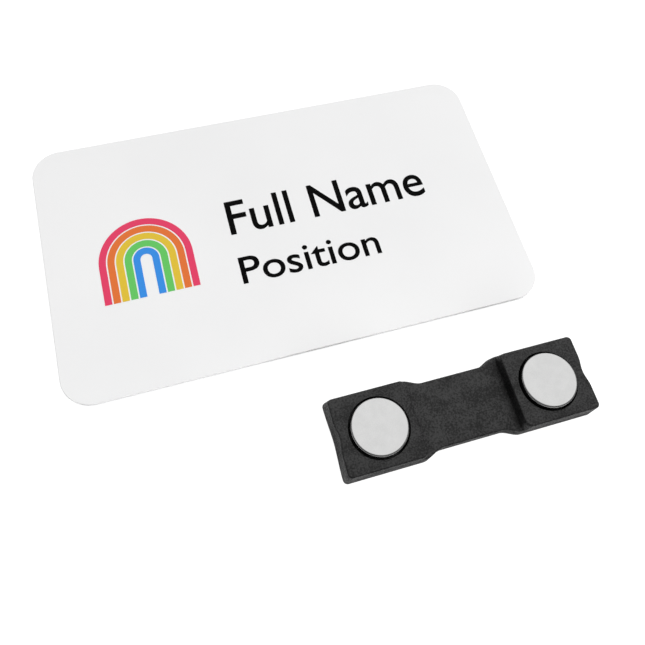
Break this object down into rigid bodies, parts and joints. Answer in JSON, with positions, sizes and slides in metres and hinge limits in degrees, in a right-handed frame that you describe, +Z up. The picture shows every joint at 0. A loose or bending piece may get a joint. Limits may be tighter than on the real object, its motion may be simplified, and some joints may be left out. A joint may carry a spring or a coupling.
{
  "type": "name badge with its magnetic fastener bar laid beside it",
  "caption": "Thin white name badge with round corners and a steel strip on its back, and its black magnetic fastener bar, taken off and laid magnets up.",
  "frame": {"origin": "on the table, under the middle of the bounding box of the badge and the fastener bar laid in front of it", "axes": "+X along the badge's long side, the way a name on it reads; +Y towards the badge's top edge; +Z up, out of its printed face"},
  "size_m": [0.086, 0.073, 0.0056],
  "materials": {
    "white_plastic": "white sheet plastic with a fine satin grain",
    "black_plastic": "moulded black plastic with a spark-eroded grain",
    "nickel": "satin nickel plating",
    "zinc_steel": "zinc plated, with rolling marks along its length",
    "black_ink": "printed black",
    "colour_ink": "printed in five plain colours"
  },
  "bodies": {
    "root": {"badge_plate": "white_plastic", "steel_strip": "zinc_steel", "fastener_bar": "black_plastic", "left_magnet": "nickel", "right_magnet": "nickel"}
  },
  "joints": []
}
